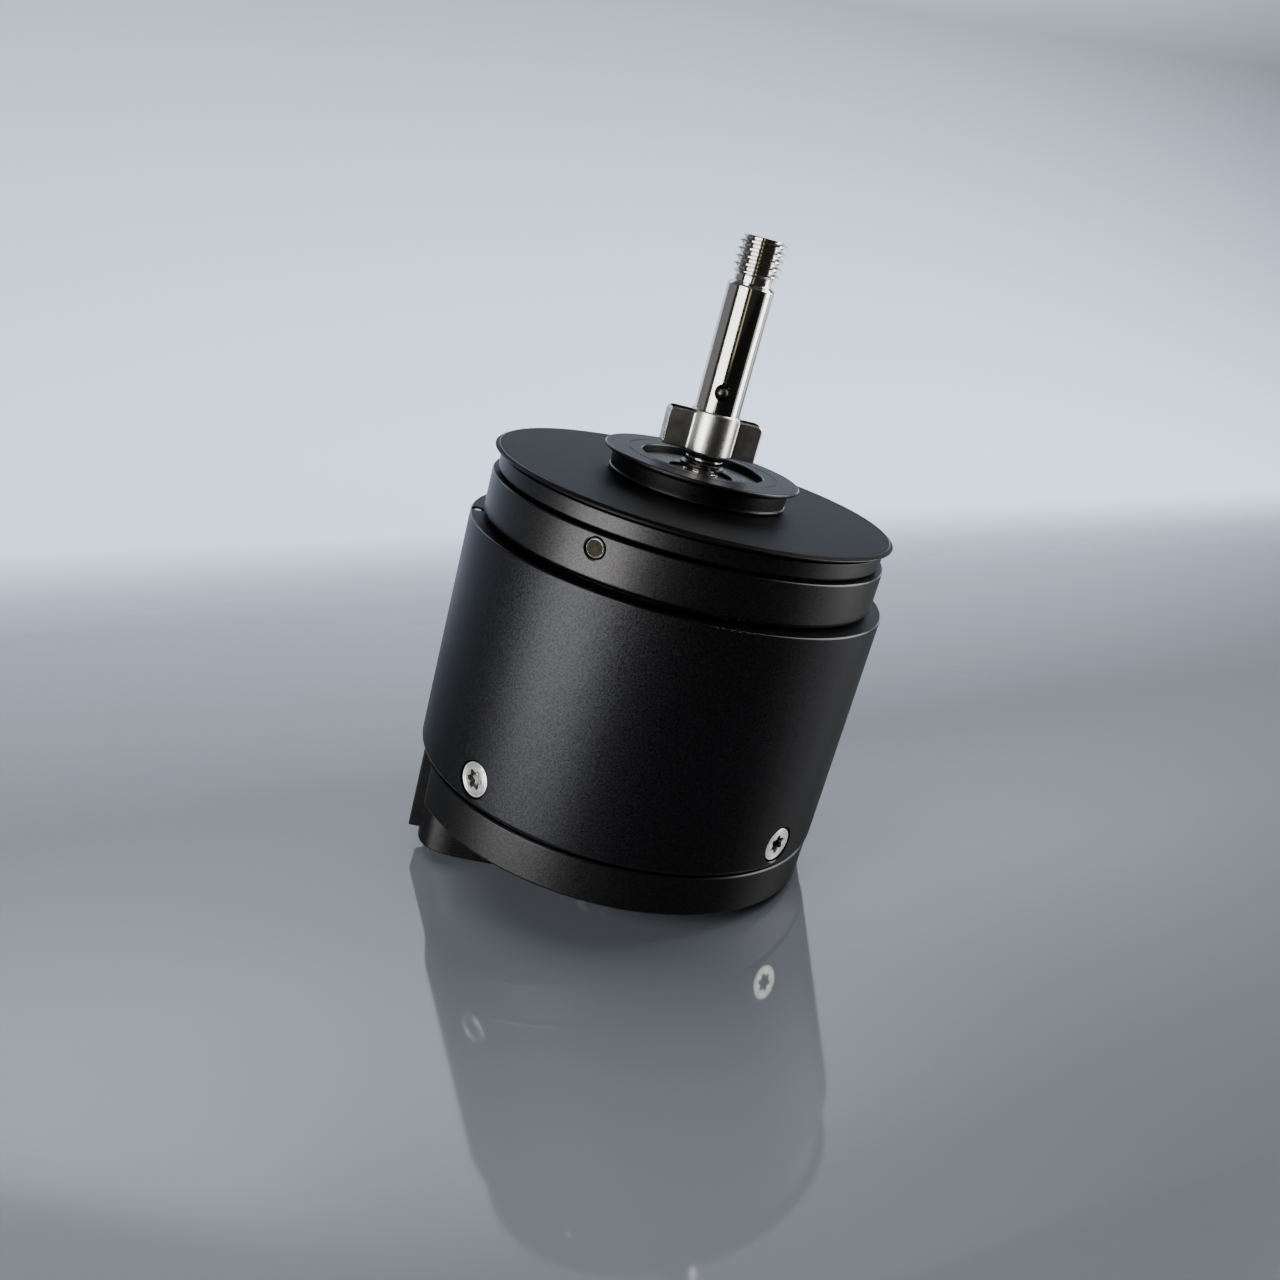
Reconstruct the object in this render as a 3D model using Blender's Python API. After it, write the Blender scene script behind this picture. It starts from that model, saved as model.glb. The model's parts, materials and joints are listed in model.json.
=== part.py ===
"""Two-stage planetary gearbox with a threaded output shaft, as separate pieces.

All lengths in this file are millimetres; MM turns them into Blender metres. Heights are
measured from the lower face of the base ring, and everything hangs from one empty that
lifts the model until its torque lug stands at z = 0. The output axis is +Z, and the
camera side of the housing is -Y.
"""

import math

import bmesh
import bpy
from mathutils import Matrix, Vector

MM = 0.001
GAP = 0.3  # clearance between neighbouring pieces

# Sides of a turned piece, by its size.
WIDE_SIDES = 32
MIDDLE_SIDES = 20
SMALL_SIDES = 12
BEARING_SIDES = 20

# Housing envelope: radius and the heights of each outer ring, bottom to top.
SLEEVE_R = 46.0
SLEEVE_BORE_R = 41.0
SLEEVE_Z = (9.5, 62.7)
BASE_R = 45.7
BASE_TOP_Z = 9.2
BASE_SPIGOT_TOP_Z = 24.0
SPIGOT_R = SLEEVE_BORE_R - GAP
HOUSING_R = 43.3
HOUSING_Z = (63.5, 72.7)
SPACER_R = 42.2
SPACER_Z = (73.0, 76.7)
DISC_R = 43.8
DISC_Z = (77.0, 78.3)
COLLAR_R = 19.5
BRIM_R = 21.4
COLLAR_Z = (78.6, 83.7)
PILOT_R = 21.0

# Torque lug and its key rib, in a frame whose X axis points out through the lug.
LUG_AZIMUTH = 188.0
LUG_DROP = 14.0
LUG_REACH = (22.0, 42.0)
LUG_HALF_WIDTH = 13.5
LUG_CORNER_R = 7.0
RIB_REACH = 44.5
RIB_HALF_WIDTH = 5.2
RIB_DROP = 12.8

# Fasteners and pins in the housing.
SLEEVE_SCREW_AZIMUTHS = (-128.0, -38.0, 52.0, 142.0)
SLEEVE_SCREW_Z = 15.1
SCREW_HEAD_R = 3.8
LOCK_PIN_AZIMUTHS = (-111.2, 8.8, 128.8)
LOCK_PIN_Z = 69.8
LOCK_PIN_R = 1.95
RIM_PIN_AZIMUTH = -171.0
RIM_PIN_REACH = 44.3
COVER_SCREW_AZIMUTHS = (30.0, 120.0, 210.0, 300.0)
COVER_SCREW_REACH = 28.0

# Output shaft: radius and height of each step.
SHAFT_R = 5.0
HUB_R = 5.35
NECK_R = 4.0
JOURNAL_R = 6.0
THREAD_R = 4.9
HUB_Z = (86.0, 94.9)
SHAFT_TOP_Z = 121.6
THREAD_Z = (122.8, 130.8)
DOG_AZIMUTH = 12.0
DOG_SPAN = 20.6
DOG_THICKNESS = 4.7
DOG_Z = (86.2, 94.2)
DETENT_Z = 99.5
DETENT_R = 1.45
DETENT_CENTRE = 3.95

# Gears: both stages share one ring gear.
MODULE = 1.5
PRESSURE_ANGLE = math.radians(20)
BACKLASH = 0.3
RING_TEETH = 48
STAGE_ONE = {"sun": 12, "planet": 18, "z": (25.7, 34.3)}
STAGE_TWO = {"sun": 18, "planet": 15, "z": (40.5, 51.3)}
PLANET_AZIMUTHS = (0.0, 120.0, 240.0)
RING_GEAR_Z = (24.4, 54.0)
PLANET_PIN_R = 3.2

# Ball bearings, all of one size.
BEARING_RADII = (6.3, 8.1, 12.2, 14.0)
BEARING_WIDTH = 8.0
BALL_R = 1.85
BALLS = 8
BEARING_SEAT_R = BEARING_RADII[3] + GAP
BEARING_BOTTOMS = {"input_bearing": 6.0, "lower_output_bearing": 59.1, "upper_output_bearing": 69.2}
SHAFT_OF_BEARING = {
    "input_bearing": "input",
    "lower_output_bearing": "output",
    "upper_output_bearing": "output",
}

FINISHES = {
    "black_anodised": ((0.012, 0.012, 0.013), 0.45, 0.6),
    "polished_steel": ((0.62, 0.60, 0.57), 0.16, 1.0),
    "bearing_steel": ((0.55, 0.55, 0.56), 0.22, 1.0),
    "gear_steel": ((0.30, 0.30, 0.31), 0.38, 1.0),
    "carrier_steel": ((0.38, 0.38, 0.39), 0.42, 1.0),
    "screw_steel": ((0.66, 0.65, 0.62), 0.28, 1.0),
    "dark_steel": ((0.10, 0.095, 0.09), 0.35, 1.0),
    "seal_rubber": ((0.015, 0.015, 0.015), 0.75, 0.0),
    "bronze": ((0.48, 0.29, 0.12), 0.35, 1.0),
}


def clear_scene():
    for old in list(bpy.data.objects):
        bpy.data.objects.remove(old, do_unlink=True)


def make_materials():
    made = {}
    for name, (colour, roughness, metallic) in FINISHES.items():
        material = bpy.data.materials.new(name)
        material.use_nodes = True
        shader = material.node_tree.nodes["Principled BSDF"]
        shader.inputs["Base Color"].default_value = (*colour, 1.0)
        shader.inputs["Roughness"].default_value = roughness
        shader.inputs["Metallic"].default_value = metallic
        made[name] = material
    return made


def empty(name, parent=None, at=(0.0, 0.0, 0.0)):
    helper = bpy.data.objects.new(name, None)
    helper.location = Vector(at) * MM
    helper.parent = parent
    bpy.context.scene.collection.objects.link(helper)
    return helper


def mesh_from(name, work):
    """The finished mesh of a bmesh worked in millimetres, facing out and shaded smooth."""
    bmesh.ops.scale(work, vec=(MM, MM, MM), verts=work.verts)
    bmesh.ops.recalc_face_normals(work, faces=work.faces)
    mesh = bpy.data.meshes.new(name)
    work.to_mesh(mesh)
    work.free()
    mesh.shade_smooth()
    mesh.set_sharp_from_angle(angle=math.radians(30))
    return mesh


def add(name, mesh, finish, parent, at=(0.0, 0.0, 0.0), turn=0.0):
    """A named piece at a place in millimetres, turned by degrees about its own Z."""
    piece = bpy.data.objects.new(name, mesh)
    piece.location = Vector(at) * MM
    piece.rotation_euler.z = math.radians(turn)
    piece.parent = parent
    if not mesh.materials:
        mesh.materials.append(MATERIALS[finish])
    bpy.context.scene.collection.objects.link(piece)
    return piece


def shape_with(target, tool_mesh, operation, turn=0.0):
    """Cuts or joins a helper mesh, which lies in the target's own frame."""
    tool = bpy.data.objects.new(f"{target.name}_{operation.lower()}_tool", tool_mesh)
    tool.rotation_euler.z = math.radians(turn)
    tool.parent = target
    tool.hide_render = True
    tool.display_type = "WIRE"
    bpy.context.scene.collection.objects.link(tool)
    boolean = target.modifiers.new(operation.lower(), "BOOLEAN")
    boolean.operation = operation
    boolean.solver = "EXACT"
    boolean.object = tool


def turned(name, profile, segments, places=(Matrix.Identity(4),)):
    """A profile of (radius, height) turned about Z, once at each place.

    A profile that starts and ends on the axis makes a solid; any other one is closed
    into a ring.
    """
    work = bmesh.new()
    solid = profile[0][0] == 0.0
    for place in places:
        rings = []
        for radius, height in profile:
            spokes = 1 if radius == 0.0 else segments
            ring = []
            for spoke in range(spokes):
                angle = 2 * math.pi * spoke / segments
                point = Vector((radius * math.cos(angle), radius * math.sin(angle), height))
                ring.append(work.verts.new(place @ point))
            rings.append(ring)
        pairs = list(zip(rings, rings[1:]))
        if not solid:
            pairs.append((rings[-1], rings[0]))
        for low, high in pairs:
            for spoke in range(segments):
                after = (spoke + 1) % segments
                corners = [low[spoke % len(low)], low[after % len(low)]]
                corners += [high[after % len(high)], high[spoke % len(high)]]
                work.faces.new(dict.fromkeys(corners))
    return mesh_from(name, work)


def rod(radius, low, high):
    """The profile of a plain solid cylinder."""
    return [(0.0, low), (radius, low), (radius, high), (0.0, high)]


def tube(inner, outer, low, high):
    """The profile of a plain ring."""
    return [(inner, low), (outer, low), (outer, high), (inner, high)]


def outward(azimuth, height):
    """Stands a turned piece on its side, its +Z pointing out along the azimuth."""
    lift = Matrix.Translation((0.0, 0.0, height))
    return lift @ Matrix.Rotation(math.radians(azimuth), 4, "Z") @ Matrix.Rotation(math.pi / 2, 4, "Y")


def upright(azimuth, reach):
    """Moves a turned piece out along an azimuth, still standing along Z."""
    return Matrix.Rotation(math.radians(azimuth), 4, "Z") @ Matrix.Translation((reach, 0.0, 0.0))


def on_circle(azimuth, reach, height=0.0):
    angle = math.radians(azimuth)
    return (reach * math.cos(angle), reach * math.sin(angle), height)


def prism(name, outline, low, high):
    """A flat outline extruded from one height to another."""
    work = bmesh.new()
    base = work.faces.new([work.verts.new((x, y, low)) for x, y in outline])
    grown = bmesh.ops.extrude_face_region(work, geom=[base])
    raised = [item for item in grown["geom"] if isinstance(item, bmesh.types.BMVert)]
    bmesh.ops.translate(work, vec=(0.0, 0.0, high - low), verts=raised)
    return mesh_from(name, work)


def block(name, x_range, y_range, z_range):
    (x0, x1), (y0, y1) = x_range, y_range
    return prism(name, [(x0, y0), (x1, y0), (x1, y1), (x0, y1)], *z_range)


def involute(angle):
    return math.tan(angle) - angle


def half_angle(teeth, radius, slack):
    """Half the angle of an involute tooth at a radius; slack thins it at the pitch circle."""
    pitch_radius = MODULE * teeth / 2
    base_radius = pitch_radius * math.cos(PRESSURE_ANGLE)
    pressure = math.acos(min(1.0, base_radius / radius))
    middle = math.pi / (2 * teeth) - slack / (2 * pitch_radius)
    return middle + involute(PRESSURE_ANGLE) - involute(pressure)


def toothed(name, teeth, reaches, slack, circle_r, z_range, phase=0.0):
    """A spur-toothed outline around, or inside, a plain circle.

    reaches are the radii along one flank, from the wide end of the tooth to the narrow
    one. A tooth of the outline points along X when phase is 0; phase is in teeth.
    """
    work = bmesh.new()
    flank = [(half_angle(teeth, radius, slack), radius) for radius in reaches]
    tooth = [(-half, radius) for half, radius in flank] + [(half, radius) for half, radius in flank[::-1]]
    step = 2 * math.pi / teeth
    levels = []
    for height in z_range:
        outline, circle = [], []
        for index in range(teeth):
            centre = (index + phase) * step
            for offset, radius in tooth:
                angle = centre + offset
                outline.append(work.verts.new((radius * math.cos(angle), radius * math.sin(angle), height)))
            angle = centre + tooth[0][0]
            circle.append(work.verts.new((circle_r * math.cos(angle), circle_r * math.sin(angle), height)))
        levels.append((outline, circle))
    for low, high in zip(levels[0], levels[1]):
        for index in range(len(low)):
            after = (index + 1) % len(low)
            work.faces.new([low[index], low[after], high[after], high[index]])
    per_tooth = len(tooth)
    for outline, circle in levels:
        for index in range(teeth):
            edge = [outline[(index * per_tooth + i) % len(outline)] for i in range(per_tooth + 1)]
            work.faces.new(edge + [circle[(index + 1) % teeth], circle[index]])
    return mesh_from(name, work)


def gear(name, teeth, circle_r, z_range, phase=0.0):
    pitch_radius = MODULE * teeth / 2
    reaches = (pitch_radius - 1.3 * MODULE, pitch_radius + 0.9 * MODULE)
    return toothed(name, teeth, reaches, BACKLASH, circle_r, z_range, phase)


def make_sleeve(parent):
    low, high = SLEEVE_Z
    profile = [(SLEEVE_BORE_R, low), (SLEEVE_R - 0.6, low), (SLEEVE_R, low + 0.6)]
    profile += [(SLEEVE_R, high - 0.4), (SLEEVE_R - 0.4, high), (SLEEVE_BORE_R, high)]
    sleeve = add("outer_sleeve", turned("outer_sleeve", profile, WIDE_SIDES), "black_anodised", parent)
    places = [outward(azimuth, SLEEVE_SCREW_Z) for azimuth in SLEEVE_SCREW_AZIMUTHS]
    seat = [(0.0, 38.0), (2.1, 38.0), (2.1, 43.1), (4.2, 45.2), (4.2, 48.0), (0.0, 48.0)]
    shape_with(sleeve, turned("screw_seats", seat, SMALL_SIDES, places), "DIFFERENCE")
    at_rim = [upright(RIM_PIN_AZIMUTH, RIM_PIN_REACH)]
    shape_with(sleeve, turned("rim_hole", rod(1.4, 56.5, high + 2.0), SMALL_SIDES, at_rim), "DIFFERENCE")

    head_top = SLEEVE_R - 0.35
    screw = [(0.0, 37.9), (1.7, 37.9), (1.7, head_top - 2.5), (SCREW_HEAD_R, head_top - 0.4)]
    screw += [(SCREW_HEAD_R, head_top), (1.6, head_top), (1.6, head_top - 1.3), (0.0, head_top - 1.3)]
    for number, azimuth in enumerate(SLEEVE_SCREW_AZIMUTHS, 1):
        mesh = turned("sleeve_screw", screw, SMALL_SIDES, [outward(azimuth, SLEEVE_SCREW_Z)])
        add(f"sleeve_screw_{number}", mesh, "screw_steel", parent)
    pin = turned("rim_lock_pin", rod(1.1, 57.0, high - 0.2), SMALL_SIDES, at_rim)
    add("rim_lock_pin", pin, "screw_steel", parent)


def lug_outline():
    """Plan of the torque lug: a bar with its two outer corners rounded."""
    inner, outer = LUG_REACH
    outline = [(inner, LUG_HALF_WIDTH), (inner, -LUG_HALF_WIDTH)]
    for side, start in ((-1, -90), (1, 0)):
        centre = (outer - LUG_CORNER_R, side * (LUG_HALF_WIDTH - LUG_CORNER_R))
        for step in range(7):
            angle = math.radians(start + 15 * step)
            reach = (LUG_CORNER_R * math.cos(angle), LUG_CORNER_R * math.sin(angle))
            outline.append((centre[0] + reach[0], centre[1] + reach[1]))
    return outline


def make_base_ring(parent):
    profile = [(PILOT_R, 0.0), (BASE_R - 0.6, 0.0), (BASE_R, 0.6), (BASE_R, BASE_TOP_Z)]
    profile += [(SPIGOT_R, BASE_TOP_Z), (SPIGOT_R, BASE_SPIGOT_TOP_Z), (37.5, BASE_SPIGOT_TOP_Z)]
    profile += [(37.5, 10.0), (18.0, 10.0), (18.0, 14.2), (BEARING_SEAT_R, 14.2)]
    profile += [(BEARING_SEAT_R, 5.8), (12.0, 5.8), (12.0, 4.6), (PILOT_R, 4.6)]
    mesh = turned("base_ring", profile, WIDE_SIDES)
    base = add("base_ring", mesh, "black_anodised", parent, turn=LUG_AZIMUTH)
    flat = block("lug_flat", (LUG_REACH[1], 50.0), (-20.0, 20.0), (-1.0, BASE_TOP_Z + 0.1))
    shape_with(base, flat, "DIFFERENCE")
    shape_with(base, prism("lug", lug_outline(), -LUG_DROP, 3.0), "UNION")
    rib_width = (-RIB_HALF_WIDTH, RIB_HALF_WIDTH)
    rib = block("rib", (LUG_REACH[1] - 2.0, RIB_REACH), rib_width, (-RIB_DROP, BASE_TOP_Z - 0.2))
    shape_with(base, rib, "UNION")
    places = [outward(azimuth - LUG_AZIMUTH, SLEEVE_SCREW_Z) for azimuth in SLEEVE_SCREW_AZIMUTHS]
    shape_with(base, turned("screw_holes", rod(2.0, 36.0, 42.0), SMALL_SIDES, places), "DIFFERENCE")


def make_output_housing(parent):
    low, high = HOUSING_Z
    profile = [(36.0, 54.4), (SPIGOT_R, 54.4), (SPIGOT_R, low), (HOUSING_R - 0.5, low)]
    profile += [(HOUSING_R, low + 0.5), (HOUSING_R, high - 0.4), (HOUSING_R - 0.4, high)]
    profile += [(BEARING_SEAT_R, high), (BEARING_SEAT_R, 58.8), (12.2, 58.8), (12.2, 57.6), (36.0, 57.6)]
    housing = add("output_housing", turned("output_housing", profile, WIDE_SIDES), "black_anodised", parent)
    places = [outward(azimuth, LOCK_PIN_Z) for azimuth in LOCK_PIN_AZIMUTHS]
    shape_with(housing, turned("pin_holes", rod(2.3, 35.0, 46.0), SMALL_SIDES, places), "DIFFERENCE")
    places = [upright(azimuth, COVER_SCREW_REACH) for azimuth in COVER_SCREW_AZIMUTHS]
    bore = [(0.0, 50.0), (3.3, 50.0), (3.3, 61.2), (1.8, 61.2), (1.8, 80.0), (0.0, 80.0)]
    shape_with(housing, turned("cover_screw_bores", bore, SMALL_SIDES, places), "DIFFERENCE")

    reach = HOUSING_R - 0.1
    pin = [(0.0, 35.4), (LOCK_PIN_R, 35.4), (LOCK_PIN_R, reach - 0.3)]
    pin += [(LOCK_PIN_R - 0.3, reach), (0.0, reach)]
    for number, azimuth in enumerate(LOCK_PIN_AZIMUTHS, 1):
        mesh = turned("lock_pin", pin, SMALL_SIDES, [outward(azimuth, LOCK_PIN_Z)])
        add(f"lock_pin_{number}", mesh, "dark_steel", parent)


def make_cover(parent):
    spacer = turned("spacer_ring", tube(36.0, SPACER_R, *SPACER_Z), WIDE_SIDES)
    add("spacer_ring", spacer, "black_anodised", parent)

    low, high = DISC_Z
    spigot_r = 36.0 - GAP
    profile = [(BEARING_SEAT_R, SPACER_Z[0]), (spigot_r, SPACER_Z[0]), (spigot_r, low), (SPACER_R, low)]
    profile += [(SPACER_R, low + 0.6), (DISC_R, low + 0.6), (DISC_R, low + 0.8), (DISC_R - 0.9, high)]
    profile += [(13.2, high), (13.2, 77.5), (BEARING_SEAT_R, 77.5)]
    disc = add("cover_disc", turned("cover_disc", profile, WIDE_SIDES), "black_anodised", parent)
    places = [upright(azimuth, COVER_SCREW_REACH) for azimuth in COVER_SCREW_AZIMUTHS]
    shape_with(disc, turned("cover_threads", rod(1.8, 70.0, 77.4), SMALL_SIDES, places), "DIFFERENCE")

    screw = [(0.0, 59.8), (1.3, 59.8), (1.3, 58.0), (2.75, 58.0)]
    screw += [(2.75, 60.9), (1.5, 60.9), (1.5, 77.0), (0.0, 77.0)]
    for number, azimuth in enumerate(COVER_SCREW_AZIMUTHS, 1):
        mesh = turned("cover_screw", screw, SMALL_SIDES, [upright(azimuth, COVER_SCREW_REACH)])
        add(f"cover_screw_{number}", mesh, "screw_steel", parent)


def make_seal_collar(parent):
    low, high = COLLAR_Z
    profile = [(10.0, 77.6), (12.9, 77.6), (12.9, low), (COLLAR_R, low), (COLLAR_R, high - 0.9)]
    profile += [(BRIM_R - 0.2, high - 0.9), (BRIM_R, high - 0.7), (BRIM_R, high - 0.2), (BRIM_R - 0.2, high)]
    profile += [(13.3, high), (13.3, 81.2), (10.0, 81.2)]
    add("seal_collar", turned("seal_collar", profile, WIDE_SIDES), "black_anodised", parent)
    lip = [(9.7, 77.9), (9.7, 80.9), (4.5, 80.9), (4.2, 80.2)]
    lip += [(5.0, 79.6), (8.2, 79.6), (8.2, 77.9)]
    add("shaft_seal", turned("shaft_seal", lip, MIDDLE_SIDES), "seal_rubber", parent)
    shield = [(7.0, 81.5), (13.0, 81.5), (13.0, 82.0), (7.3, 82.0), (7.0, 81.8)]
    add("seal_shield", turned("seal_shield", shield, MIDDLE_SIDES), "carrier_steel", parent)


def make_ring_gear(parent):
    pitch_radius = MODULE * RING_TEETH / 2
    reaches = (pitch_radius - 0.9 * MODULE, pitch_radius + 1.3 * MODULE)
    mesh = toothed("ring_gear", RING_TEETH, reaches, -BACKLASH, SPIGOT_R, RING_GEAR_Z)
    add("ring_gear", mesh, "gear_steel", parent)


def make_bearing(name, outer_parent, cage_parent, inner_parent):
    bottom = BEARING_BOTTOMS[name]
    top = bottom + BEARING_WIDTH
    middle = (bottom + top) / 2
    inner_low, inner_high, outer_low, outer_high = BEARING_RADII
    outer = turned(f"{name}_outer_ring", tube(outer_low, outer_high, bottom, top), BEARING_SIDES)
    add(f"{name}_outer_ring", outer, "bearing_steel", outer_parent)
    inner = turned(f"{name}_inner_ring", tube(inner_low, inner_high, bottom, top), BEARING_SIDES)
    add(f"{name}_inner_ring", inner, "bearing_steel", inner_parent)
    track = (inner_high + outer_low) / 2
    cage = turned(f"{name}_cage", tube(track - 0.7, track + 0.7, middle - 0.9, middle + 0.9), BEARING_SIDES)
    cage = add(f"{name}_cage", cage, "bearing_steel", cage_parent)
    work = bmesh.new()
    for ball in range(BALLS):
        place = Matrix.Translation(on_circle(360 * ball / BALLS + 5.0, track, middle))
        bmesh.ops.create_uvsphere(work, u_segments=6, v_segments=3, radius=BALL_R, matrix=place)
    shape_with(cage, mesh_from(f"{name}_balls", work), "UNION")


def make_output_shaft(parent):
    profile = [(0.0, 56.0), (8.0, 56.0), (8.0, 58.9), (JOURNAL_R, 58.9), (JOURNAL_R, 77.3)]
    profile += [(NECK_R, 77.3), (NECK_R, 82.5), (3.4, 82.5), (3.4, 83.7), (NECK_R, 83.7)]
    profile += [(NECK_R, HUB_Z[0]), (HUB_R, HUB_Z[0]), (HUB_R, HUB_Z[1] - 0.2), (SHAFT_R, HUB_Z[1])]
    profile += [(SHAFT_R, SHAFT_TOP_Z - 0.4), (SHAFT_R - 0.5, SHAFT_TOP_Z), (4.1, SHAFT_TOP_Z + 0.1)]
    profile += [(4.1, THREAD_Z[0]), (THREAD_R, THREAD_Z[0] + 0.8), (THREAD_R, THREAD_Z[1] - 0.8)]
    profile += [(THREAD_R - 0.8, THREAD_Z[1]), (0.0, THREAD_Z[1])]
    shaft = add("output_shaft", turned("output_shaft", profile, MIDDLE_SIDES), "polished_steel", parent)
    shape_with(shaft, turned("hex_end", rod(8.0, 51.9, 57.0), 6), "UNION")
    half = DOG_SPAN / 2
    low, high = DOG_Z
    side = [(-half, low), (half, low), (half, high - 0.8)]
    side += [(half - 0.8, high), (0.8 - half, high), (-half, high - 0.8)]
    dogs = prism("dogs", side, -DOG_THICKNESS / 2, DOG_THICKNESS / 2)
    dogs.transform(Matrix.Rotation(math.pi / 2, 4, "X"))
    shape_with(shaft, dogs, "UNION", turn=DOG_AZIMUTH)
    hole = turned("detent_hole", rod(1.6, -3.2, 7.0), SMALL_SIDES, [outward(-90.0, DETENT_Z)])
    shape_with(shaft, hole, "DIFFERENCE")

    ring = turned("neck_retaining_ring", tube(3.7, 4.9, 82.8, 83.4), MIDDLE_SIDES)
    ring = add("neck_retaining_ring", ring, "dark_steel", parent)
    shape_with(ring, block("ring_gap", (2.0, 7.0), (-1.0, 1.0), (82.0, 84.0)), "DIFFERENCE", turn=-60.0)

    spacer = turned("bearing_spacer", tube(6.3, 8.1, 67.4, 68.9), BEARING_SIDES)
    add("bearing_spacer", spacer, "carrier_steel", parent)


def make_detent(shaft_parent, ball_parent):
    """A ball in the shaft's cross hole, pushed out by a coil spring behind it."""
    work = bmesh.new()
    bmesh.ops.create_icosphere(work, subdivisions=2, radius=DETENT_R)
    add("detent_ball", mesh_from("detent_ball", work), "dark_steel", ball_parent)

    turns, points_per_turn = 4, 8
    wire_r, coil_r = 0.16, 1.0
    start, end = -2.7, DETENT_CENTRE - DETENT_R - 0.6
    curve = bpy.data.curves.new("detent_spring", "CURVE")
    curve.dimensions = "3D"
    curve.bevel_depth = wire_r * MM
    curve.bevel_resolution = 0
    curve.use_fill_caps = True
    line = curve.splines.new("POLY")
    line.points.add(turns * points_per_turn)
    for index, point in enumerate(line.points):
        share = index / (turns * points_per_turn)
        angle = 2 * math.pi * turns * share
        place = (coil_r * math.cos(angle), -(start + (end - start) * share), coil_r * math.sin(angle))
        point.co = (*(Vector(place) * MM), 1.0)
    add("detent_spring", curve, "bearing_steel", shaft_parent, at=(0.0, 0.0, DETENT_Z))


def pin_holes(mesh_name, reach, z_range):
    places = [upright(azimuth, reach) for azimuth in PLANET_AZIMUTHS]
    return turned(mesh_name, rod(PLANET_PIN_R + GAP, *z_range), SMALL_SIDES, places)


def make_stage(label, stage, carrier, centre_distance, plates, pin_z, planet_parents):
    """The plates and pins of one carrier, and its planets with their bushes."""
    for name, profile, z_range in plates:
        plate = add(name, turned(name, profile, MIDDLE_SIDES), "carrier_steel", carrier)
        low, high = z_range
        holes = pin_holes(f"{name}_holes", centre_distance, (low - 1.0, high + 1.0))
        shape_with(plate, holes, "DIFFERENCE")
    low, high = stage["z"]
    bush_outer = PLANET_PIN_R + GAP + 1.2
    planet = gear(f"{label}_planet", stage["planet"], bush_outer + GAP, (low, high))
    bush = tube(PLANET_PIN_R + GAP, bush_outer, low + 0.1, high - 0.1)
    bush = turned(f"{label}_planet_bush", bush, SMALL_SIDES)
    pin = turned(f"{label}_planet_pin", rod(PLANET_PIN_R, *pin_z), SMALL_SIDES)
    for number, azimuth in enumerate(PLANET_AZIMUTHS, 1):
        place = on_circle(azimuth, centre_distance)
        add(f"{label}_planet_pin_{number}", pin, "dark_steel", carrier, at=place)
        axis = empty(f"{label}_planet_{number}_axis", planet_parents, at=place)
        add(f"{label}_planet_{number}", planet, "gear_steel", axis, turn=azimuth)
        add(f"{label}_planet_bush_{number}", bush, "bronze", axis)


def make_stage_two(carrier):
    distance = MODULE * (STAGE_TWO["sun"] + STAGE_TWO["planet"]) / 2
    flange = ("output_carrier", tube(9.0, 33.5, 51.7, 57.0), (51.7, 57.0))
    retainer = ("stage_two_retainer", tube(16.2, 34.0, 38.9, 40.1), (38.9, 40.1))
    make_stage("stage_two", STAGE_TWO, carrier, distance, (flange, retainer), (38.9, 57.0), carrier)


def make_stage_one(carrier):
    distance = MODULE * (STAGE_ONE["sun"] + STAGE_ONE["planet"]) / 2
    flange = ("stage_one_carrier", tube(8.3, 31.0, 34.9, 38.1), (34.9, 38.1))
    retainer = ("stage_one_retainer", tube(9.0, 33.0, 23.8, 25.3), (23.8, 25.3))
    make_stage("stage_one", STAGE_ONE, carrier, distance, (flange, retainer), (23.8, 38.0), carrier)
    sun = gear("stage_two_sun", STAGE_TWO["sun"], 4.0, (38.5, STAGE_TWO["z"][1]))
    sun = add("stage_two_sun", sun, "gear_steel", carrier)
    hub = turned("sun_hub", tube(4.5, 8.0, 34.9, 39.5), MIDDLE_SIDES)
    shape_with(sun, hub, "UNION")


def make_input(parent):
    """Hollow input shaft that takes the motor's shaft from below and carries the first sun."""
    profile = [(0.0, 22.0), (4.0, 22.0), (4.0, 4.8), (JOURNAL_R, 4.8), (JOURNAL_R, 26.0), (0.0, 26.0)]
    shaft = add("input_shaft", turned("input_shaft", profile, MIDDLE_SIDES), "gear_steel", parent)
    low, high = STAGE_ONE["z"]
    sun = gear("first_sun", STAGE_ONE["sun"], 2.5, (low - 0.3, high + 0.3), phase=0.5)
    shape_with(shaft, sun, "UNION")


def main():
    gearbox = empty("gearbox", at=(0.0, 0.0, LUG_DROP))
    output = empty("output_axis", gearbox)
    detent = empty("detent_axis", output, at=(0.0, -DETENT_CENTRE, DETENT_Z))
    stage_one = empty("stage_one_carrier_axis", gearbox)
    drive = empty("input_axis", gearbox)
    make_sleeve(gearbox)
    make_base_ring(gearbox)
    make_output_housing(gearbox)
    make_cover(gearbox)
    make_seal_collar(gearbox)
    make_ring_gear(gearbox)
    make_output_shaft(output)
    make_detent(output, detent)
    make_stage_two(output)
    make_stage_one(stage_one)
    make_input(drive)
    shafts = {"input": drive, "output": output}
    for name, shaft in SHAFT_OF_BEARING.items():
        cage = empty(f"{name}_cage_axis", gearbox)
        make_bearing(name, gearbox, cage, shafts[shaft])


clear_scene()
MATERIALS = make_materials()
main()
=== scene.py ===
"""The looks of the planetary gearbox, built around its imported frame.

Lengths are millimetres on the frame's own axes, and MM turns them into metres. Sizes that
the frame knows are read from it, and the finer ones are given here. Every piece that shows
is modelled again with its chamfers, roundings, screw recesses and thread. The pieces inside
stay as the frame has them and take the finish of their slot.
"""

import json
import math

import bmesh
import bpy
from mathutils import Matrix, Vector


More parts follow.
